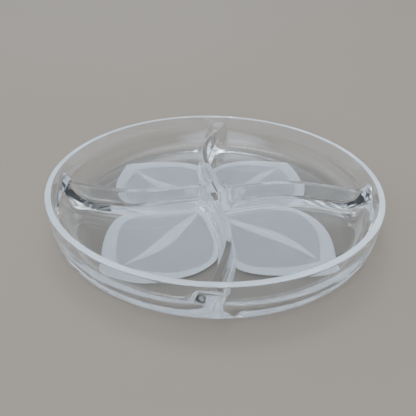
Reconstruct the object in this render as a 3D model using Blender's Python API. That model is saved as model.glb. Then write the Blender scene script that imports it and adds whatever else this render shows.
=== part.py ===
"""Round four-section serving dish in pressed glass.

The glass is one casting. It is split here into its moulded features, so that each one is a solid of
its own: the floor, the rounded bottom corner, the wall with its flat rim, four S-curved dividers,
the hub where they meet, and four leaf panels that stand proud of the underside and carry the dish.

Frame: metres, +Z up, origin on the table under the middle of the dish. The first divider runs along
+X, and the pattern repeats every quarter turn.
"""

import math

import bmesh
import bpy
from mathutils import Matrix, Vector
from mathutils.geometry import interpolate_bezier

# Dish body
DISH_RADIUS = 0.150
DISH_HEIGHT = 0.0435
WALL_THICKNESS = 0.0053
WALL_TAPER = 0.0006
FLOOR_THICKNESS = 0.0054
OUTER_CORNER = 0.019
INNER_CORNER = 0.024
RIM_ROUND = 0.0007

# Relief on the underside
LEAF_DEPTH = 0.0023
LEAF_STEP = 0.0012
LEAF_PANEL_SCALE = 0.87
LEAF_PANEL_CENTRE = Vector((0.075, 0.0))
LEAF_TIP_TURN = math.radians(50.6)
LEAF_TIP_RADIUS = 0.1335
LEAF_GAP = 0.0016
LEAF_RIGHT_REACH = 0.078
LEAF_LEFT_REACH = 0.062
LEAF_HUB_REACH = 0.009
LEAF_RIGHT_PULLS = (Vector((0.085, -0.070)), Vector((0.131, -0.0075)))
LEAF_LEFT_PULLS = (Vector((0.120, 0.0105)), Vector((0.101, 0.071)))

# Dividers, along the crest line of the one at +X
CREST_DROP = 0.013
CREST_SHIFT = 0.0024
CREST_SWAY = 0.0101
CREST_PEAK = 0.078
CREST_WAVE = 0.208
CREST_HALF_WIDTH = 0.0028
FOOT_HALF_WIDTH = 0.0072
FOOT_FLARE = 0.0030
FLARE_LENGTH = 0.022
END_FILLET = 0.0066
HUB_REACH = 0.024
HUB_HANDLE = 0.016

GAP = 0.0003
QUARTERS = 4
SIDES = ("right", "back", "left", "front")
LEAF_SIDES = ("back_right", "back_left", "front_left", "front_right")

# Steps along each curve
AROUND = 72
CORNER_STEPS = 7
RIM_STEPS = 2
WALL_STEPS = 3
CUTTER_STEPS = 10
DIVIDER_STEPS = 20
SWEEP_STEPS = 4
HUB_POINTS = 9
LEAF_POINTS = 12
LEAF_LEFT_STEPS = 6
LEAF_RIGHT_STEPS = 7

FLOOR_UNDER = LEAF_DEPTH + GAP
FLOOR_TOP = FLOOR_UNDER + FLOOR_THICKNESS
INSIDE_RADIUS = DISH_RADIUS - WALL_THICKNESS
CREST_HEIGHT = DISH_HEIGHT - CREST_DROP
PLATE_RADIUS = INSIDE_RADIUS - INNER_CORNER - GAP
WALL_START = FLOOR_UNDER + OUTER_CORNER + GAP
COVE_TOP = FLOOR_TOP + INNER_CORNER

# Divider section: share of the height above the floor, and share of the way from crest to foot width
SECTION = (
    (0.000, 1.00),
    (0.050, 0.88),
    (0.300, 0.36),
    (0.400, 0.26),
    (0.800, 0.12),
    (0.930, 0.00),
    (0.985, -0.27),
)


def clear_scene():
    for obj in list(bpy.data.objects):
        bpy.data.objects.remove(obj, do_unlink=True)


def glass(name, colour, roughness):
    material = bpy.data.materials.new(name)
    material.use_nodes = True
    shader = material.node_tree.nodes["Principled BSDF"]
    shader.inputs["Base Color"].default_value = colour
    shader.inputs["Roughness"].default_value = roughness
    shader.inputs["Metallic"].default_value = 0.0
    shader.inputs["IOR"].default_value = 1.5
    return material


def add_object(name, mesh, material, smooth_angle=30.0):
    mesh.shade_smooth()
    mesh.set_sharp_from_angle(angle=math.radians(smooth_angle))
    obj = bpy.data.objects.new(name, mesh)
    bpy.context.scene.collection.objects.link(obj)
    obj.data.materials.append(material)
    return obj


def mesh_from(name, bm):
    bmesh.ops.recalc_face_normals(bm, faces=bm.faces)
    mesh = bpy.data.meshes.new(name)
    bm.to_mesh(mesh)
    bm.free()
    return mesh


def turned(name, profile, closed):
    """A profile of (radius, height) turned about Z. An open one starts and ends on the axis."""
    bm = bmesh.new()
    verts = [bm.verts.new((radius, 0.0, height)) for radius, height in profile]
    edges = [bm.edges.new(pair) for pair in zip(verts, verts[1:])]
    if closed:
        edges.append(bm.edges.new((verts[-1], verts[0])))
    bmesh.ops.spin(
        bm,
        geom=verts + edges,
        cent=(0, 0, 0),
        axis=(0, 0, 1),
        angle=math.tau,
        steps=AROUND,
        use_merge=True,
    )
    bmesh.ops.remove_doubles(bm, verts=bm.verts, dist=1e-6)
    return mesh_from(name, bm)


def arc(centre, radius, start, end, steps):
    """Points of an arc from start to end, in degrees."""
    points = []
    for step in range(steps + 1):
        angle = math.radians(start + (end - start) * step / steps)
        points.append((centre[0] + radius * math.cos(angle), centre[1] + radius * math.sin(angle)))
    return points


def cove(inset, lowest, highest, steps):
    """The hollow corner inside the dish, between two heights and moved inwards by inset."""
    centre = (INSIDE_RADIUS - INNER_CORNER, FLOOR_TOP + INNER_CORNER)
    start = math.degrees(math.asin((lowest - centre[1]) / INNER_CORNER))
    end = math.degrees(math.asin((highest - centre[1]) / INNER_CORNER))
    return arc(centre, INNER_CORNER - inset, start, end, steps)


def corner_profile():
    """The rounded bottom corner, from the edge of the floor plate up to where the wall starts."""
    outer_centre = (DISH_RADIUS - WALL_TAPER - OUTER_CORNER, FLOOR_UNDER + OUTER_CORNER)
    profile = [(PLATE_RADIUS + GAP, FLOOR_UNDER)]
    profile += arc(outer_centre, OUTER_CORNER, -90, 0, CORNER_STEPS)
    profile += reversed(cove(0.0, FLOOR_TOP, outer_centre[1], CORNER_STEPS))
    return profile


def wall_profile():
    rim_centre = DISH_HEIGHT - RIM_ROUND
    profile = [(DISH_RADIUS - WALL_TAPER, WALL_START)]
    profile += arc((DISH_RADIUS - RIM_ROUND, rim_centre), RIM_ROUND, 0, 90, RIM_STEPS)
    profile += arc((INSIDE_RADIUS + RIM_ROUND, rim_centre), RIM_ROUND, 90, 180, RIM_STEPS)
    profile += reversed(cove(0.0, WALL_START, COVE_TOP, WALL_STEPS))
    return profile


def cavity_cutter(material):
    """The room inside the dish, which trims whatever stands in it."""
    profile = [(0.0, FLOOR_TOP + GAP)]
    profile += cove(GAP, FLOOR_TOP, COVE_TOP, CUTTER_STEPS)
    profile.append((INSIDE_RADIUS - GAP, DISH_HEIGHT + INNER_CORNER))
    profile.append((0.0, DISH_HEIGHT + INNER_CORNER))
    cutter = add_object("cavity_cutter", turned("cavity_cutter", profile, closed=False), material)
    cutter.hide_render = True
    cutter.display_type = "WIRE"
    return cutter


def crest_point(along):
    """The crest line of a divider, as (along, across)."""
    turn = math.tau * (along - CREST_PEAK) / CREST_WAVE
    return Vector((along, CREST_SHIFT + CREST_SWAY * math.cos(turn)))


def crest_normal(along):
    turn = math.tau * (along - CREST_PEAK) / CREST_WAVE
    slope = -CREST_SWAY * math.sin(turn) * math.tau / CREST_WAVE
    return Vector((-slope, 1.0)).normalized()


def crest_height(along):
    """Level along the divider, then a concave sweep up the wall."""
    into_fillet = along - (INSIDE_RADIUS - END_FILLET)
    if into_fillet <= 0:
        return CREST_HEIGHT
    into_fillet = min(into_fillet, END_FILLET)
    return CREST_HEIGHT + END_FILLET - math.sqrt(END_FILLET**2 - into_fillet**2)


def half_width(along, share):
    foot = FOOT_HALF_WIDTH + FOOT_FLARE * math.exp(-(along - HUB_REACH) / FLARE_LENGTH)
    return CREST_HALF_WIDTH + (foot - CREST_HALF_WIDTH) * share


def section_ring(along):
    """Points round a divider's section, up its left side and down its right side."""
    base = FLOOR_TOP + GAP
    rise = crest_height(along) - base
    place = crest_point(along)
    across = crest_normal(along)
    left = []
    right = []
    for height_share, width_share in SECTION:
        offset = across * half_width(along, width_share)
        height = base + rise * height_share
        left.append(Vector((*(place + offset), height)))
        right.append(Vector((*(place - offset), height)))
    return left + right[::-1]


def even_steps(start, end, steps):
    """Values from start up to the one before end."""
    return [start + (end - start) * step / steps for step in range(steps)]


def divider_stations():
    """Where the sections stand: even along the divider, closer together up the wall."""
    start = HUB_REACH + GAP
    sweep_start = INSIDE_RADIUS - END_FILLET
    turns = even_steps(0.0, math.pi / 2, SWEEP_STEPS)
    sweep = [sweep_start + END_FILLET * math.sin(turn) for turn in turns]
    ends = [INSIDE_RADIUS, INSIDE_RADIUS + WALL_THICKNESS]
    return even_steps(start, sweep_start, DIVIDER_STEPS) + sweep + ends


def divider(side, quarter, material, cutter):
    bm = bmesh.new()
    rings = [[bm.verts.new(point) for point in section_ring(along)] for along in divider_stations()]
    for ring, following in zip(rings, rings[1:]):
        for index, corner in enumerate(ring):
            after = (index + 1) % len(ring)
            bm.faces.new((corner, ring[after], following[after], following[index]))
    bm.faces.new(rings[0])
    bm.faces.new(rings[-1][::-1])
    obj = add_object(f"divider_{side}", mesh_from(f"divider_{side}", bm), material)
    obj.rotation_euler.z = math.tau * quarter / QUARTERS
    trim = obj.modifiers.new("Trim to the dish", "BOOLEAN")
    trim.operation = "INTERSECT"
    trim.solver = "EXACT"
    trim.object = cutter
    return obj


def quarter_turn(point, quarter):
    return Matrix.Rotation(math.tau * quarter / QUARTERS, 2) @ point


def hub_outline(width_share):
    """Plan of the hub at one level: four flat ends, with a hollow curve between each two."""
    place = crest_point(HUB_REACH)
    across = crest_normal(HUB_REACH)
    inwards = Vector((-across.y, across.x)) * HUB_HANDLE
    offset = across * half_width(HUB_REACH, width_share)
    outline = []
    for quarter in range(QUARTERS):
        start = quarter_turn(place + offset, quarter)
        end = quarter_turn(place - offset, quarter + 1)
        pull_start = start + quarter_turn(inwards, quarter)
        pull_end = end + quarter_turn(inwards, quarter + 1)
        curve = interpolate_bezier(
            start.to_3d(), pull_start.to_3d(), pull_end.to_3d(), end.to_3d(), HUB_POINTS
        )
        outline += [point.to_2d() for point in curve]
    return outline


def hub(material):
    base = FLOOR_TOP + GAP
    rise = CREST_HEIGHT - base
    bm = bmesh.new()
    rings = []
    for height_share, width_share in SECTION:
        height = base + rise * height_share
        rings.append([bm.verts.new((*point, height)) for point in hub_outline(width_share)])
    for ring, above in zip(rings, rings[1:]):
        for index, corner in enumerate(ring):
            after = (index + 1) % len(ring)
            bm.faces.new((corner, ring[after], above[after], above[index]))
    bm.faces.new(rings[0][::-1])
    bm.faces.new(rings[-1])
    return add_object("centre_hub", mesh_from("centre_hub", bm), material)


def leaf_outline():
    """One leaf, with its tip on +X: two curved sides, then the crest lines back to the hub."""
    half_gap = LEAF_GAP / 2
    tip = Vector((LEAF_TIP_RADIUS, 0.0))
    tip_frame = Matrix.Rotation(-LEAF_TIP_TURN, 2)

    def under_divider(along, quarter, offset):
        point = crest_point(along) + crest_normal(along) * offset
        return tip_frame @ quarter_turn(point, quarter)

    def curve(start, pulls, end):
        corners = [point.to_3d() for point in (start, *pulls, end)]
        return [point.to_2d() for point in interpolate_bezier(*corners, LEAF_POINTS)]

    outline = curve(under_divider(LEAF_RIGHT_REACH, 0, half_gap), LEAF_RIGHT_PULLS, tip)
    outline += curve(tip, LEAF_LEFT_PULLS, under_divider(LEAF_LEFT_REACH, 1, -half_gap))[1:]
    left_run = even_steps(LEAF_LEFT_REACH, LEAF_HUB_REACH, LEAF_LEFT_STEPS)[1:]
    outline += [under_divider(along, 1, -half_gap) for along in left_run]
    right_run = even_steps(LEAF_HUB_REACH, LEAF_RIGHT_REACH, LEAF_RIGHT_STEPS)
    outline += [under_divider(along, 0, half_gap) for along in right_run]
    return outline


def leaf(side, quarter, material):
    outline = leaf_outline()
    centre = LEAF_PANEL_CENTRE
    panel = [centre + (point - centre) * LEAF_PANEL_SCALE for point in outline]
    levels = ((outline, LEAF_DEPTH), (outline, LEAF_STEP), (panel, 0.0))
    bm = bmesh.new()
    rings = [[bm.verts.new((*point, height)) for point in ring] for ring, height in levels]
    for ring, below in zip(rings, rings[1:]):
        for index, corner in enumerate(ring):
            after = (index + 1) % len(ring)
            bm.faces.new((corner, below[index], below[after], ring[after]))
    bm.faces.new(rings[0])
    bm.faces.new(rings[-1][::-1])
    obj = add_object(f"leaf_{side}", mesh_from(f"leaf_{side}", bm), material)
    obj.rotation_euler.z = LEAF_TIP_TURN + math.tau * quarter / QUARTERS
    return obj


def floor_plate(material):
    profile = (
        (0.0, FLOOR_UNDER),
        (PLATE_RADIUS, FLOOR_UNDER),
        (PLATE_RADIUS, FLOOR_TOP),
        (0.0, FLOOR_TOP),
    )
    return add_object("dish_floor", turned("dish_floor", profile, closed=False), material)


def corner_ring(material):
    return add_object("dish_corner", turned("dish_corner", corner_profile(), closed=True), material)


def wall_ring(material):
    return add_object("dish_wall", turned("dish_wall", wall_profile(), closed=True), material)


def build():
    clear_scene()
    clear = glass("clear_glass", (0.86, 0.91, 0.93, 1.0), 0.02)
    frosted = glass("frosted_glass", (0.80, 0.83, 0.86, 1.0), 0.55)
    floor_plate(clear)
    corner_ring(clear)
    wall_ring(clear)
    hub(clear)
    cutter = cavity_cutter(clear)
    for quarter in range(QUARTERS):
        divider(SIDES[quarter], quarter, clear, cutter)
        leaf(LEAF_SIDES[quarter], quarter, frosted)


build()
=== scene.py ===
# Round sectioned serving dish in pressed glass, with satin leaves in relief under its floor.
# The clear casting is one mesh, because light runs through it as through one piece of glass.
import math

import bmesh
import bpy
import numpy as np
from mathutils import Matrix, Vector
from mathutils.geometry import delaunay_2d_cdt, interpolate_bezier


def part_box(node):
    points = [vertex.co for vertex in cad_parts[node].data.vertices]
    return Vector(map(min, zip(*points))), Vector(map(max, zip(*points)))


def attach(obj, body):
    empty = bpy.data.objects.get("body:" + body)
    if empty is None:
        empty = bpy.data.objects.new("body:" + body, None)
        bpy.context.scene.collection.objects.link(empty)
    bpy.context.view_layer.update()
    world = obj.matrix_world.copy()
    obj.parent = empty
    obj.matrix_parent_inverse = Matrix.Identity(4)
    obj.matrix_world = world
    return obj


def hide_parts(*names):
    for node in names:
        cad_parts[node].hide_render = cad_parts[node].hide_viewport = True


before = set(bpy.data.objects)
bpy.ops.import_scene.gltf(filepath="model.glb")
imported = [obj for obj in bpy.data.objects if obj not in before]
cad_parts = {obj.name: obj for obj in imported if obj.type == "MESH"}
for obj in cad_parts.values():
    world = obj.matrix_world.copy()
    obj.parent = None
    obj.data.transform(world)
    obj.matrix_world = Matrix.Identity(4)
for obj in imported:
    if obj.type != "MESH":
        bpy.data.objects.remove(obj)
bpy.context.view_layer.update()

mm = 0.001
quarters = 4
leafNames = ("back_right", "back_left", "front_left", "front_right")
clearNodes = [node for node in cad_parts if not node.startswith("leaf_")]

# heights and radii that the frame already fixes
floorLow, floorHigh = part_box("dish_floor")
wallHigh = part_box("dish_wall")[1]
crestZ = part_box("centre_hub")[1].z
floorZ = floorHigh.z
underZ = floorLow.z
rimZ = wallHigh.z
dishRadius = wallHigh.x

dish = dict(
    wall=5.3 * mm,  # glass thickness of the wall
    wallTaper=0.6 * mm,  # the outside narrows this much towards the base
    wallDraft=(0.1 * mm, 0.35 * mm),  # and this much of it below the rim and halfway down
    outerCorner=19 * mm,
    cornerSteps=8,
    baseInset=4 * mm,  # width of the flat ring between the corner and the underside
    mouthFlare=0.1 * mm,  # the inside opens this much towards the rim
    overCrest=4.2 * mm,  # height of the first loop above the crests
    rimSupport=1.0 * mm,  # how tight the rim's edges are
    rimLoops=(3.2, 5),  # the next loops below, inside and outside, in rim supports
    rimFace=0.06 * mm,  # glass this close to the top counts as the rim's flat face, which gets a paler, partly opaque glass: a painted reflection of the bright sky
    subdivisions=2,
    wallColumns=19,  # per compartment, along the wall
    columnCrowding=0.035,  # how far these columns lean towards the dividers
    floorRings=(0.72, 0.40),  # size of the loops inside a compartment's floor
)
insideRadius = dishRadius - dish["wall"]

divider = dict(
    # seen from above the crest is a wave: its sideways shift, its sway, where it peaks, its length
    crestShift=2.4 * mm,
    crestSway=10.1 * mm,
    crestPeak=78 * mm,
    crestWave=208 * mm,
    # how the columns of a side are spaced from the hub to the wall
    stations=(13, 18, 25, 34, 45, 57, 70, 83, 96, 108, 119, 128, 134.5, 138, 141),
    topRise=0.2 * mm,  # the crest's crown
    topEdge=1.05 * mm,  # width of the rounding on each side of the crest
    endFillet=6.6 * mm,  # radius in which the crest runs up the wall
    filletRow=4,  # rows above this one climb the wall with the crest
    filletFade=0.62,  # how much of the climb the next loop above still has
    webWidth=4.2 * mm,  # how much the right foot spreads near the hub
    webStart=88 * mm,
    webEnd=46 * mm,
    hubStart=((13.5, 24), (11.5, 17.5)),  # mm, first column at crest and floor, left and right side
    wallGap=3.6 * mm,  # last column to the wall
    endReach=13 * mm,  # the ends spread over this much of the crest
    endBend=1.7,  # higher keeps the spread closer to the wall
    apexCrest=(9.6 * mm, 7.6 * mm),  # corner of a compartment at the hub, at the crest and at the floor
    apexFloor=(19.5 * mm, 11.5 * mm),
    apexBend=0.6,
)

# One row round a compartment, from its floor up to the crest, in mm: offset from the crest line,
# height on the divider, inset from the wall, height on the wall, height in the corner
pocketRows = (
    (12.0, 0.0, 31.0, 0.0, 0.0),
    (8.6, 0.0, 24.0, 0.0, 0.1),
    (7.3, 0.25, 17.8, 0.8, 1.3),
    (6.6, 1.4, 11.2, 3.5, 4.3),
    (4.6, 5.8, 6.0, 7.8, 8.8),
    (3.95, 8.6, 2.2, 13.4, 14.4),
    (3.3, 18.0, 0.4, 19.0, 21.5),
    (2.95, 22.0, 0.0, 22.4, 27.4),
)
# how far from the crest line each row's corner stands at the wall, left and right side, in mm
endOffsets = (
    (24.0, 22.0),
    (21.5, 19.5),
    (19.5, 18.0),
    (17.5, 16.5),
    (14.5, 14.0),
    (12.2, 11.8),
    (10.0, 9.8),
    (8.4, 8.2),
)


def turned(point, quarter):
    # the point turned round the middle by this many quarter turns
    return Matrix.Rotation(math.tau * quarter / quarters, 2) @ Vector(point)


def crestPoint(along):
    # the crest line of the divider at +X, seen from above
    turn = math.tau * (along - divider["crestPeak"]) / divider["crestWave"]
    return Vector((along, divider["crestShift"] + divider["crestSway"] * math.cos(turn)))


def crestAcross(along):
    # square to the crest line, towards its left
    turn = math.tau * (along - divider["crestPeak"]) / divider["crestWave"]
    slope = -divider["crestSway"] * math.sin(turn) * math.tau / divider["crestWave"]
    return Vector((-slope, 1.0)).normalized()


def easeBetween(value, low, high):
    share = min(max((value - low) / (high - low), 0.0), 1.0)
    return share * share * (3 - 2 * share)


def sideStations(row, side):
    # how far out the columns of a divider's side stand: lower rows stop shorter of the hub and of the wall
    offset, _, inset = pocketRows[row][:3]
    narrow, wide = pocketRows[-1][0], pocketRows[0][0]
    share = (offset - narrow) / (wide - narrow)
    low, high = divider["hubStart"][0 if side > 0 else 1]
    first = (low + (high - low) * share) * mm
    last = insideRadius - inset * mm - divider["wallGap"]
    nominal = divider["stations"]
    return [first + (last - first) * (s - nominal[0]) / (nominal[-1] - nominal[0]) for s in nominal]


def endLift(along):
    # the crest climbs the wall in a fillet
    radius = divider["endFillet"]
    toWall = min(max(insideRadius - along, 0.0), radius)
    return radius - math.sqrt(radius**2 - (radius - toWall) ** 2)


def sidePoint(along, row, side):
    # a point on the left (+1) or right (-1) face of the divider at +X
    offset, height, inset = pocketRows[row][:3]
    endShare = (along - insideRadius + inset * mm) / divider["endReach"] + 1
    wide = endOffsets[row][0 if side > 0 else 1] - offset
    offset += wide * max(endShare, 0.0) ** divider["endBend"]
    spread = 1 - row / (len(pocketRows) - 1)
    if side < 0:
        web = 1 - easeBetween(along, divider["webEnd"], divider["webStart"])
        offset += divider["webWidth"] / mm * web * spread
    place = crestPoint(along) + crestAcross(along) * side * offset * mm
    rowsAbove = len(pocketRows) - 1 - divider["filletRow"]
    rise = endLift(along) * max(row - divider["filletRow"], 0) / rowsAbove
    return Vector((*place, floorZ + height * mm + rise))


def wallCorner(row, side):
    # where a divider's side meets the wall
    inset, height = pocketRows[row][2], pocketRows[row][4]
    offset = endOffsets[row][0 if side > 0 else 1]
    radius = insideRadius - inset * mm
    across = crestPoint(radius).y + side * offset * mm
    return Vector((math.sqrt(radius**2 - across**2), across, floorZ + height * mm))


def pocketOutline(row):
    # the compartment between the dividers at +X and +Y: hub corner, out along one, round the wall, back
    share = row / (len(pocketRows) - 1)
    apex = Vector(divider["apexFloor"]).lerp(Vector(divider["apexCrest"]), share ** divider["apexBend"])
    height = pocketRows[row][1]
    points = [Vector((*apex, floorZ + height * mm))]
    points += [sidePoint(along, row, 1) for along in sideStations(row, 1)]
    start = wallCorner(row, 1)
    end = wallCorner(row, -1)
    end = Vector((*turned(end.to_2d(), 1), end.z))
    points.append(start)
    radius = insideRadius - pocketRows[row][2] * mm
    wallHeight = floorZ + pocketRows[row][3] * mm
    startAngle = math.atan2(start.y, start.x)
    endAngle = math.atan2(end.y, end.x)
    count = dish["wallColumns"]
    for column in range(1, count + 1):
        angle = startAngle + (endAngle - startAngle) * wallShare(column, count)
        points.append(Vector((radius * math.cos(angle), radius * math.sin(angle), wallHeight)))
    points.append(end)
    for along in reversed(sideStations(row, -1)):
        point = sidePoint(along, row, -1)
        points.append(Vector((*turned(point.to_2d(), 1), point.z)))
    return points


def wallShare(column, count):
    # wall columns crowd a little towards the dividers
    even = column / (count + 1)
    return even - dish["columnCrowding"] * math.sin(math.tau * even)


def loopFaces(bm, lower, upper, closed=True):
    total = len(lower)
    for index in range(total if closed else total - 1):
        after = (index + 1) % total
        bm.faces.new((lower[index], lower[after], upper[after], upper[index]))


def buildCage():
    # the inside, rim and outside of the clear casting, open where its flat underside will go
    bm = bmesh.new()
    top = len(pocketRows) - 1
    outlines = [pocketOutline(row) for row in range(len(pocketRows))]
    columns = len(outlines[0])
    stationCount = len(divider["stations"]) + 1
    pockets = []
    for quarter in range(quarters):
        rows = []
        for outline in outlines:
            rows.append([bm.verts.new((*turned(p.to_2d(), quarter), p.z)) for p in outline])
        for lower, upper in zip(rows, rows[1:]):
            loopFaces(bm, upper, lower)
        centre = sum((v.co for v in rows[0]), Vector()) / columns
        inner = rows[0]
        for shrink in dish["floorRings"]:
            ring = [bm.verts.new(centre + (v.co - centre) * shrink) for v in rows[0]]
            loopFaces(bm, inner, ring)
            inner = ring
        middle = bm.verts.new(centre)
        for index in range(columns):
            bm.faces.new((inner[index], inner[(index + 1) % columns], middle))
        pockets.append(rows)

    # crest strips, each from the hub to the wall, five columns wide from right edge to left edge
    strips = []
    for quarter in range(quarters):
        left = pockets[quarter][top]
        right = pockets[quarter - 1][top]
        strip = []
        for station in range(stationCount + 1):
            leftVert = left[station]
            rightVert = right[-station] if station else right[0]
            row = [rightVert]
            halfWidth = (leftVert.co - rightVert.co).length / 2
            inner = max(1 - divider["topEdge"] / halfWidth, 0.5)
            for across in (-inner, 0.0, inner):
                point = rightVert.co.lerp(leftVert.co, (across + 1) / 2)
                point.z = crestZ + divider["topRise"] * (1 - abs(across)) + endLift(point.to_2d().length)
                if station == stationCount:
                    point *= insideRadius / point.to_2d().length
                    point.z = crestZ + divider["endFillet"]
                row.append(bm.verts.new(point))
            row.append(leftVert)
            strip.append(row)
        for near, far in zip(strip, strip[1:]):
            loopFaces(bm, near[::-1], far[::-1], closed=False)
        strips.append(strip)

    # the middle of the hub, where the strips cross
    size = 4
    grid = [[None] * (size + 1) for _ in range(size + 1)]
    for step in range(size + 1):
        grid[size][step] = strips[0][0][step]
        grid[size - step][size] = strips[1][0][step]
        grid[0][size - step] = strips[2][0][step]
        grid[step][0] = strips[3][0][step]
    corners = [grid[0][0].co, grid[size][0].co, grid[0][size].co, grid[size][size].co]
    for i in range(1, size):
        for j in range(1, size):
            u = i / size
            v = j / size
            ruled = grid[0][j].co.lerp(grid[size][j].co, u) + grid[i][0].co.lerp(grid[i][size].co, v)
            flat = corners[0].lerp(corners[1], u).lerp(corners[2].lerp(corners[3], u), v)
            point = ruled - flat
            point.z = crestZ + divider["topRise"]
            grid[i][j] = bm.verts.new(point)
    for i in range(size):
        for j in range(size):
            bm.faces.new((grid[i][j], grid[i + 1][j], grid[i + 1][j + 1], grid[i][j + 1]))

    # the ring above the crests, over the rim and down the outside to the underside
    ring = []
    for quarter in range(quarters):
        ring += strips[quarter][stationCount]
        ring += pockets[quarter][top][stationCount + 1 : stationCount + 1 + dish["wallColumns"]]
    angles = [math.atan2(vert.co.y, vert.co.x) for vert in ring]
    lifts = [max(vert.co.z - crestZ, 0.0) for vert in ring]
    for level, (radius, height) in enumerate(ringProfile()):
        upper = []
        for angle, lift in zip(angles, lifts):
            raised = height + (lift * divider["filletFade"] if level == 0 else 0)
            upper.append(bm.verts.new((radius * math.cos(angle), radius * math.sin(angle), raised)))
        loopFaces(bm, ring, upper)
        ring = upper
    bmesh.ops.recalc_face_normals(bm, faces=bm.faces)
    mesh = bpy.data.meshes.new("glassBody")
    bm.to_mesh(mesh)
    bm.free()
    return mesh


def ringProfile():
    # (radius, height) of each loop from just above the crests, over the rim, to the flat underside
    tight = dish["rimSupport"]
    corner = dish["outerCorner"]
    lowRadius = dishRadius - dish["wallTaper"]
    mouth = insideRadius + dish["mouthFlare"]
    innerLoop, outerLoop = dish["rimLoops"]
    highDraft, halfDraft = dish["wallDraft"]
    profile = [
        (insideRadius, crestZ + dish["overCrest"]),
        (mouth, rimZ - innerLoop * tight),
        (mouth, rimZ - tight),
        (mouth, rimZ),
        (mouth + tight, rimZ),
        (dishRadius - tight, rimZ),
        (dishRadius, rimZ),
        (dishRadius, rimZ - tight),
        (dishRadius - highDraft, rimZ - outerLoop * tight),
        (dishRadius - halfDraft, (rimZ + underZ + corner) / 2),
    ]
    steps = dish["cornerSteps"]
    for step in range(steps + 1):
        angle = math.radians(90 * step / steps)
        radius = lowRadius - corner + corner * math.cos(angle)
        height = underZ + corner - corner * math.sin(angle)
        profile.append((radius, height))
    profile.append((lowRadius - corner - dish["baseInset"], underZ))
    return profile


leafShape = dict(
    tipTurn=math.radians(50.6),  # from the divider on the leaf's right to its tip
    tipRadius=133.5 * mm,
    veinGap=1.6 * mm,  # clear glass between two leaves, under a divider
    rightPull=((85, -70), (131, -7.5)),  # curve handles of the two outer sides, mm in the leaf's frame
    leftPull=((120, 10.5), (101, 71)),
    rightMeets=78 * mm,  # how far out each side runs under a divider
    leftMeets=62 * mm,
    base=9 * mm,  # where both sides start, from the middle of the dish
    runPoints=40,  # each side is first drawn with this many points under the divider
    curvePoints=60,  # and this many along its outer curve
    steps=72,  # then spaced evenly into this many steps
)


def bezier(start, pulls, end, count):
    # points on a curve between two ends, its two handles given in mm
    handles = [Vector((x * mm, y * mm, 0)) for x, y in pulls]
    return [p.to_2d() for p in interpolate_bezier(start.to_3d(), *handles, end.to_3d(), count)]


def evenly(points, count):
    # the same line through count points, evenly spaced along its length
    line = np.array([tuple(p) for p in points])
    lengths = np.r_[0, np.cumsum(np.linalg.norm(np.diff(line, axis=0), axis=1))]
    wanted = np.linspace(0, lengths[-1], count)
    return [Vector((np.interp(w, lengths, line[:, 0]), np.interp(w, lengths, line[:, 1]))) for w in wanted]


def leafSides():
    # left and right edge of a leaf with its tip on +X, each from the hub end to the tip
    shape = leafShape
    turnBack = Matrix.Rotation(-shape["tipTurn"], 2)
    tip = Vector((shape["tipRadius"], 0.0))

    def underDivider(along, quarter, offset):
        return turnBack @ turned(crestPoint(along) + crestAcross(along) * offset, quarter)

    gap = shape["veinGap"] / 2
    rightRun = np.linspace(shape["base"], shape["rightMeets"], shape["runPoints"])
    leftRun = np.linspace(shape["base"], shape["leftMeets"], shape["runPoints"])
    right = [underDivider(along, 0, gap) for along in rightRun]
    left = [underDivider(along, 1, -gap) for along in leftRun]
    right += bezier(right[-1], shape["rightPull"], tip, shape["curvePoints"])[1:]
    left += bezier(tip, shape["leftPull"], left[-1], shape["curvePoints"])[::-1][1:]
    return left, right


print("laying out the clear casting")
cage = buildCage()
glassBody = bpy.data.objects.new("glass_body", cage)
bpy.context.scene.collection.objects.link(glassBody)
subdivide = glassBody.modifiers.new("Smooth glass", "SUBSURF")
subdivide.levels = subdivide.render_levels = dish["subdivisions"]
bpy.context.view_layer.update()
graph = bpy.context.evaluated_depsgraph_get()
smoothMesh = bpy.data.meshes.new_from_object(glassBody.evaluated_get(graph))
glassBody.modifiers.clear()


def boundaryLoop(bm):
    # the open edge left for the underside, in order
    edge = next(e for e in bm.edges if e.is_boundary)
    loop = [edge.verts[0], edge.verts[1]]
    while True:
        last, before = loop[-1], loop[-2]
        after = next(e.other_vert(last) for e in last.link_edges if e.is_boundary and before not in e.verts)
        if after is loop[0]:
            return loop
        loop.append(after)


def inside(point, outline):
    # whether a line from the point to the right crosses the outline an odd number of times
    found = False
    for (x0, y0), (x1, y1) in zip(outline, outline[1:] + outline[:1]):
        if (y0 > point[1]) != (y1 > point[1]):
            if point[0] < (x1 - x0) * (point[1] - y0) / (y1 - y0) + x0:
                found = not found
    return found


def leafOutline(quarter):
    left, right = leafSides()
    count = leafShape["steps"] + 1
    right = evenly(right, count)
    left = evenly(left, count)
    base = (right[0] + left[0]) / 2
    turn = quarter + leafShape["tipTurn"] / (math.tau / quarters)
    loop = [base] + right + left[::-1][1:]
    return [turned(point, turn) for point in loop]


castingSlots = dict(clear=0, joint=1, rim=2)


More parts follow.
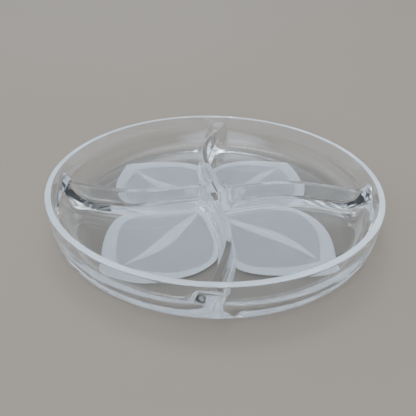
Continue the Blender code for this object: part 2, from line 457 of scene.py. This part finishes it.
def closeUnderside(mesh):
    # the flat underside, with the leaves' outlines cut into it
    bm = bmesh.new()
    bm.from_mesh(mesh)
    rim = boundaryLoop(bm)
    for vert in rim:
        vert.co.z = underZ
    points = [v.co.to_2d() for v in rim]
    outlines = [leafOutline(quarter) for quarter in range(quarters)]
    edges = [(i, (i + 1) % len(points)) for i in range(len(points))]
    for outline in outlines:
        first = len(points)
        edges += [(first + i, first + (i + 1) % len(outline)) for i in range(len(outline))]
        points += outline
    insideOnly = 1
    nearly = 1e-7
    places, _, cutFaces, origins = delaunay_2d_cdt(points, edges, [], insideOnly, nearly)[:4]
    verts = []
    for place, sources in zip(places, origins):
        known = [i for i in sources if i < len(rim)]
        verts.append(rim[known[0]] if known else bm.verts.new((*place, underZ)))
    loops = [[tuple(p) for p in outline] for outline in outlines]
    for corners in cutFaces:
        face = bm.faces.new([verts[i] for i in corners])
        middle = face.calc_center_median()
        underLeaf = any(inside(middle, loop) for loop in loops)
        face.material_index = castingSlots["joint" if underLeaf else "clear"]
    bmesh.ops.recalc_face_normals(bm, faces=bm.faces)
    for face in bm.faces:
        face.smooth = True
    openEdges = sum(not edge.is_manifold for edge in bm.edges)
    bm.to_mesh(mesh)
    bm.free()
    return openEdges


openEdges = closeUnderside(smoothMesh)
glassBody.data = smoothMesh
bpy.data.meshes.remove(cage)
print("casting:", len(smoothMesh.polygons), "faces,", openEdges, "open edges")

leafSlots = dict(panel=0, joint=1, border=2)
leafRelief = dict(  # lines in mm, in the leaf's own frame
    panelHeight=0.8 * mm,
    step=0.1 * mm,  # the border starts with a small step down
    stepShare=0.005,  # which takes this much of the border's width
    borderColumns=5,
    panelColumns=9,
    ribDepth=0.78 * mm,
    depthRise=12,  # full depth is reached in a twelfth of the rib's length
    depthFade=0.5,  # and it runs out towards the tip with this power
    ribSides=(2.5 * mm, 1.3 * mm),  # width of the rib's two faces
    widthRise=3,  # full width is reached in a sixth of the rib's length
    widthFade=0.6,
    rib=[(16, -7.5), (28, -6), (45, -3), (62, 1.5), (76, 3.5), (87, 3.5), (98, 2.5), (108, 1.2)],
    middle=(66, 0),
    innerLeft=[(113, 4), (106, 18), (97, 30.5), (88, 39), (77, 45), (66, 48), (55, 45), (45, 38)],
    innerRight=[
        (115, -1), (109, -13), (100, -25), (91, -34), (82, -41), (73, -45.5), (66, -45.5), (58, -43)
    ],
    innerTip=(116, 1),
    besideDivider=5.5 * mm,  # the panel keeps this far from the leaf's edge along a divider
    hubClear=6 * mm,  # and starts this far past the start of the rib
    turnClear=5 * mm,  # with room to turn into the lines above
    besideEvery=4,  # steps between its points there
    besideEnds=3,  # and steps kept free at both ends
)


def smoothLine(points, count):
    # a Catmull-Rom line through the points, evenly spaced
    line = [Vector(p) for p in points]
    line = [line[0] * 2 - line[1]] + line + [line[-1] * 2 - line[-2]]
    dense = []
    steps = 12
    for before, start, end, after in zip(line, line[1:], line[2:], line[3:]):
        for step in range(steps):
            t = step / steps
            dense.append(
                0.5
                * (
                    2 * start
                    + (end - before) * t
                    + (2 * before - 5 * start + 4 * end - after) * t**2
                    + (3 * start - before - 3 * end + after) * t**3
                )
            )
    dense.append(line[-2])
    return evenly(dense, count)


def matched(outer, inner):
    # the points of the inner line that lie towards the middle from each outer point
    middle = Vector(leafRelief["middle"]) * mm
    angles = np.unwrap([math.atan2(*(p - middle).yx) for p in inner])
    radii = [(p - middle).length for p in inner]
    order = np.argsort(angles)
    found = []
    for point in outer:
        away = point - middle
        angle = math.atan2(away.y, away.x)
        angle += math.tau * round((angles[len(angles) // 2] - angle) / math.tau)
        radius = np.interp(angle, angles[order], np.array(radii)[order])
        found.append(middle + away.normalized() * float(radius))
    return found


def leafLines():
    # outline, inner contour and rib of one leaf in its own frame, station by station from hub to tip
    count = leafShape["steps"] + 1
    left, right = leafSides()
    left, right = evenly(left, count), evenly(right, count)
    base = (left[0] + right[0]) / 2
    innerTip = Vector(leafRelief["innerTip"]) * mm
    rib = smoothLine([Vector(p) * mm for p in leafRelief["rib"]] + [innerTip], count + 1)
    sides = []
    for outer, given, sign in ((left, leafRelief["innerLeft"], -1), (right, leafRelief["innerRight"], 1)):
        given = [innerTip] + [Vector(p) * mm for p in given]
        hubLine = []
        limit = min(range(len(outer)), key=lambda i: (outer[i] - given[-1]).length)
        ends = leafRelief["besideEnds"]
        for i in range(limit - ends, ends - 1, -leafRelief["besideEvery"]):
            along = (outer[i + 1] - outer[i - 1]).normalized()
            across = Vector((-along.y, along.x)) * sign
            place = outer[i] + across * leafRelief["besideDivider"]
            pastHub = place.length > rib[0].length + leafRelief["hubClear"]
            if pastHub and place.x < given[-1].x - leafRelief["turnClear"]:
                hubLine.append(place)
        line = smoothLine(given + hubLine + [rib[0]], 4 * count)[::-1]
        outer = [base] + list(outer)
        sides.append((outer, [line[0]] + matched(outer[1:-1], line) + [line[-1]]))
    return sides, rib


def buildLeaf(name, quarter):
    sides, rib = leafLines()
    turn = quarter + leafShape["tipTurn"] / (math.tau / quarters)
    bm = bmesh.new()
    total = len(rib)
    relief = leafRelief
    panelZ = relief["panelHeight"]

    def put(point, height):
        return bm.verts.new((*turned(point, turn), height))

    tangents = [(rib[min(i + 1, total - 1)] - rib[max(i - 1, 0)]).normalized() for i in range(total)]
    # the rib is deepest near the hub and runs out at the tip
    ribVerts = []
    for i, point in enumerate(rib):
        share = i / (total - 1)
        depth = relief["ribDepth"] * (1 - share) ** relief["depthFade"]
        depth *= min(share * relief["depthRise"], 1)
        ribVerts.append(put(point, panelZ - depth))
    loops = []
    borderSteps = relief["borderColumns"]
    panelSteps = relief["panelColumns"]
    for which, (outer, inner) in enumerate(sides):
        sideSign = 1 if which == 0 else -1
        width = relief["ribSides"][which]
        rows = []
        for i in range(total):
            along = i / (total - 1)
            row = []
            if which == 1 and i in (0, total - 1):
                # the two sides share their first and last row
                row = loops[0][i][: borderSteps + 2]
            else:
                row.append(put(outer[i], underZ))
                for k in range(borderSteps + 1):
                    t = k / borderSteps
                    height = (underZ - relief["step"]) * (1 - t) + panelZ * t
                    share = relief["stepShare"] * (1 - t) + t
                    row.append(put(outer[i].lerp(inner[i], share), height))
            if i in (0, total - 1):
                row = row[:-1] + [ribVerts[i]]
                rows.append(row)
                continue
            swell = math.sin(math.pi * min(along * relief["widthRise"], 0.5))
            taper = swell * (1 - along) ** relief["widthFade"]
            across = Vector((-tangents[i].y, tangents[i].x)) * sideSign
            edge = rib[i] + across * width * taper
            for k in range(1, panelSteps + 1):
                t = k / panelSteps
                row.append(put(inner[i].lerp(edge, t), panelZ))
            row.append(ribVerts[i])
            rows.append(row)
        loops.append(rows)
        for near, far in zip(rows, rows[1:]):
            for k in range(max(len(near), len(far)) - 1):
                a = near[min(k, len(near) - 1)]
                b = near[min(k + 1, len(near) - 1)]
                c = far[min(k + 1, len(far) - 1)]
                d = far[min(k, len(far) - 1)]
                corners = list(dict.fromkeys((a, b, c, d)))
                if len(corners) > 2:
                    face = bm.faces.new(corners)
                    # the border's faces and the rib's faces take the whiter border glass, whose brightness
                    # is painted light
                    onPanel = borderSteps < k < borderSteps + panelSteps
                    face.material_index = leafSlots["panel" if onPanel else "border"]
    loop = [rows[0] for rows in loops[1]] + [rows[0] for rows in loops[0]][::-1][1:-1]
    top = bm.faces.new(loop)
    top.material_index = leafSlots["joint"]
    bmesh.ops.recalc_face_normals(bm, faces=bm.faces)
    for face in bm.faces:
        face.smooth = face is not top
    unused = [vert for vert in bm.verts if not vert.link_faces]
    for vert in unused:
        bm.verts.remove(vert)
    openEdges = sum(not edge.is_manifold for edge in bm.edges)
    mesh = bpy.data.meshes.new(name)
    bm.to_mesh(mesh)
    bm.free()
    obj = bpy.data.objects.new(name, mesh)
    bpy.context.scene.collection.objects.link(obj)
    print(name, len(mesh.polygons), "faces,", openEdges, "open edges")
    return obj


def newMaterial(name):
    material = bpy.data.materials.new(name)
    material.use_nodes = True
    tree = material.node_tree
    tree.nodes.clear()
    output = tree.nodes.new("ShaderNodeOutputMaterial")
    return material, tree, output


def addBump(tree, shader, place, scale, detail, strength, depth):
    noise = tree.nodes.new("ShaderNodeTexNoise")
    noise.inputs["Scale"].default_value = scale
    noise.inputs["Detail"].default_value = detail
    bump = tree.nodes.new("ShaderNodeBump")
    bump.inputs["Strength"].default_value = strength
    bump.inputs["Distance"].default_value = depth
    tree.links.new(place.outputs["Object"], noise.inputs["Vector"])
    tree.links.new(noise.outputs["Fac"], bump.inputs["Height"])
    tree.links.new(bump.outputs["Normal"], shader.inputs["Normal"])


glassLook = dict(
    body=((0.975, 0.99, 1.0, 1), 0.992, 0.012),  # colour, clarity and roughness
    # the rim's flat face: pale blue and partly opaque, a painted reflection of the bright sky on clear
    # glass
    rim=((0.87, 0.95, 1.0, 1), 0.60, 0.08),
    ior=1.5,
    wave=0.05,  # the slight waviness that pressing leaves
    waveScale=28,
    waveDetail=2,
    waveDepth=1 * mm,
)


def clearGlass(name, colour, clarity, roughness):
    material, tree, output = newMaterial(name)
    look = glassLook
    shader = tree.nodes.new("ShaderNodeBsdfPrincipled")
    shader.inputs["Base Color"].default_value = colour
    shader.inputs["Roughness"].default_value = roughness
    shader.inputs["IOR"].default_value = look["ior"]
    shader.inputs["Transmission Weight"].default_value = clarity
    place = tree.nodes.new("ShaderNodeTexCoord")
    addBump(tree, shader, place, look["waveScale"], look["waveDetail"], look["wave"], look["waveDepth"])
    tree.links.new(shader.outputs["BSDF"], output.inputs["Surface"])
    return material


def joined():
    # where the leaves and the casting are one piece of glass, there is no surface to see
    material, tree, output = newMaterial("fused joint")
    shader = tree.nodes.new("ShaderNodeBsdfTransparent")
    tree.links.new(shader.outputs["BSDF"], output.inputs["Surface"])
    return material


frostLook = dict(
    colour=(0.91, 0.955, 0.995, 1),
    panel=(0.62, 0.45),  # how much goes straight through the etching, and its roughness
    # the border lets less light straight through than the panel, so it shows whiter: painted light,
    # standing in for the light its sloped faces catch
    border=(0.20, 0.30),
    cloudScale=60,  # faint patches in the etching
    cloudDetail=6,
    cloudDepth=0.94,  # brightness of the darker patches
    cloudRange=(0.3, 0.7),
    grain=0.2,
    grainScale=900,
    grainDetail=3,
    grainDepth=0.1 * mm,
)


def frostedGlass(name, through, roughness):
    material, tree, output = newMaterial(name)
    look = frostLook
    shader = tree.nodes.new("ShaderNodeBsdfPrincipled")
    shader.inputs["Roughness"].default_value = roughness
    shader.inputs["IOR"].default_value = glassLook["ior"]
    shader.inputs["Transmission Weight"].default_value = through
    place = tree.nodes.new("ShaderNodeTexCoord")
    cloud = tree.nodes.new("ShaderNodeTexNoise")
    cloud.inputs["Scale"].default_value = look["cloudScale"]
    cloud.inputs["Detail"].default_value = look["cloudDetail"]
    colour = tree.nodes.new("ShaderNodeValToRGB")
    darker, full = colour.color_ramp.elements
    darker.position, full.position = look["cloudRange"]
    darker.color = (*[c * look["cloudDepth"] for c in look["colour"][:3]], 1)
    full.color = look["colour"]
    tree.links.new(place.outputs["Object"], cloud.inputs["Vector"])
    tree.links.new(cloud.outputs["Fac"], colour.inputs["Fac"])
    tree.links.new(colour.outputs["Color"], shader.inputs["Base Color"])
    addBump(tree, shader, place, look["grainScale"], look["grainDetail"], look["grain"], look["grainDepth"])
    tree.links.new(shader.outputs["BSDF"], output.inputs["Surface"])
    return material


print("making the materials and the leaves")
clear = clearGlass("clear pressed glass", *glassLook["body"])
# the rim's glass, with the sky's reflection painted into its colour
rimPaintedReflection = clearGlass("rim, painted sky reflection", *glassLook["rim"])
joint = joined()
frosted = frostedGlass("satin etched glass", *frostLook["panel"])
# a whiter copy of the satin glass, painting in the light that the border's slopes catch
border = frostedGlass("satin etched glass, border with painted light", *frostLook["border"])
for material in (clear, joint, rimPaintedReflection):  # in the order of castingSlots
    glassBody.data.materials.append(material)
# the rim's flat face takes the glass with the painted sky reflection
for polygon in smoothMesh.polygons:
    if polygon.center.z > rimZ - dish["rimFace"]:
        polygon.material_index = castingSlots["rim"]
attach(glassBody, "root")
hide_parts(*clearNodes)
for quarter, side in enumerate(leafNames):
    leaf = buildLeaf("satin_leaf_" + side, quarter)
    for material in (frosted, joint, border):  # in the order of leafSlots
        leaf.data.materials.append(material)
    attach(leaf, "root")
    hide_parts("leaf_" + side)

studio = dict(
    floorColour=(0.245, 0.203, 0.163, 1),
    floorRoughness=0.7,
    floorSpecular=0.2,
    floorReach=6,  # m, half its side
    domeBase=(0.42, 0.46, 0.50, 1),
    glows=(  # soft bright parts of the dome: where, cosine where it starts, cosine where it is full, colour
        ((-0.10, -0.80, 0.58), 0.78, 0.96, (3.6, 4.3, 5.2, 1)),
        ((-0.15, 0.99, -0.12), 0.86, 0.98, (2.05, 2.25, 2.4, 1)),
        ((-0.95, 0.1, 0.3), 0.55, 1.0, (1.25, 1.38, 1.5, 1)),
        ((0.0, 0.0, 1.0), 0.78, 1.0, (2.05, 2.2, 2.35, 1)),
    ),
    lights=(  # place, aimed at the dish, width, height, watts
        ((-0.3, 0.5, 2.2), 0.8, 0.5, 8),
    ),
)


def buildStage():
    bm = bmesh.new()
    reach = studio["floorReach"]
    corners = [bm.verts.new((x * reach, y * reach, 0)) for x, y in ((-1, -1), (1, -1), (1, 1), (-1, 1))]
    bm.faces.new(corners)
    mesh = bpy.data.meshes.new("floor")
    bm.to_mesh(mesh)
    bm.free()
    floor = bpy.data.objects.new("studio_floor", mesh)
    bpy.context.scene.collection.objects.link(floor)
    material, tree, output = newMaterial("pale floor")
    shader = tree.nodes.new("ShaderNodeBsdfPrincipled")
    shader.inputs["Base Color"].default_value = studio["floorColour"]
    shader.inputs["Roughness"].default_value = studio["floorRoughness"]
    shader.inputs["Specular IOR Level"].default_value = studio["floorSpecular"]
    tree.links.new(shader.outputs["BSDF"], output.inputs["Surface"])
    mesh.materials.append(material)
    world = bpy.data.worlds.new("studio")
    world.use_nodes = True
    tree = world.node_tree
    sky = tree.nodes["Background"]
    toward = tree.nodes.new("ShaderNodeTexCoord")
    base = tree.nodes.new("ShaderNodeRGB")
    base.outputs["Color"].default_value = studio["domeBase"]
    total = base.outputs["Color"]
    for aim, start, full, colour in studio["glows"]:
        dot = tree.nodes.new("ShaderNodeVectorMath")
        dot.operation = "DOT_PRODUCT"
        dot.inputs[1].default_value = Vector(aim).normalized()
        share = tree.nodes.new("ShaderNodeMapRange")
        share.interpolation_type = "SMOOTHSTEP"
        share.inputs["From Min"].default_value = start
        share.inputs["From Max"].default_value = full
        glow = tree.nodes.new("ShaderNodeVectorMath")
        glow.operation = "MULTIPLY_ADD"
        glow.inputs[1].default_value = colour[:3]
        tree.links.new(toward.outputs["Generated"], dot.inputs[0])
        tree.links.new(dot.outputs["Value"], share.inputs["Value"])
        tree.links.new(share.outputs["Result"], glow.inputs[0])
        tree.links.new(total, glow.inputs[2])
        total = glow.outputs["Vector"]
    tree.links.new(total, sky.inputs["Color"])
    bpy.context.scene.world = world
    for index, (place, width, height, watts) in enumerate(studio["lights"]):
        light = bpy.data.lights.new("soft_%d" % index, "AREA")
        light.shape = "RECTANGLE"
        light.size = width
        light.size_y = height
        light.energy = watts
        lamp = bpy.data.objects.new("soft_%d" % index, light)
        lamp.location = place
        lamp.visible_glossy = False  # no hard-edged reflection in the dish's floor
        lamp.rotation_mode = "QUATERNION"
        lamp.rotation_quaternion = (-Vector(place)).to_track_quat("-Z", "Y")
        bpy.context.scene.collection.objects.link(lamp)


shot = dict(
    back=341.44 * mm,
    above=183.23 * mm,  # over the rim
    pitch=32.979,  # degrees down, then to the left, then tilted
    yaw=0.9556,
    roll=1.3031,
    lens=36,
    sensor=36,
)
# light crosses many surfaces in the dividers before it leaves the glass
lightPaths = dict(bounces=32, glossy=12)


def buildCamera():
    data = bpy.data.cameras.new("camera")
    data.lens = shot["lens"]
    data.sensor_width = shot["sensor"]
    camera = bpy.data.objects.new("camera", data)
    place = Matrix.Translation((0, -shot["back"], rimZ + shot["above"]))
    aim = Matrix.Rotation(math.radians(shot["yaw"]), 4, "Z") @ Matrix.Rotation(
        math.radians(90 - shot["pitch"]), 4, "X"
    )
    camera.matrix_world = place @ aim @ Matrix.Rotation(math.radians(shot["roll"]), 4, "Z")
    bpy.context.scene.collection.objects.link(camera)
    bpy.context.scene.camera = camera


print("setting the stage")
buildStage()
buildCamera()
cycles = bpy.context.scene.cycles
cycles.max_bounces = lightPaths["bounces"]
cycles.transmission_bounces = lightPaths["bounces"]
cycles.glossy_bounces = lightPaths["glossy"]
cycles.transparent_max_bounces = lightPaths["bounces"]
cycles.caustics_refractive = True
cycles.caustics_reflective = True
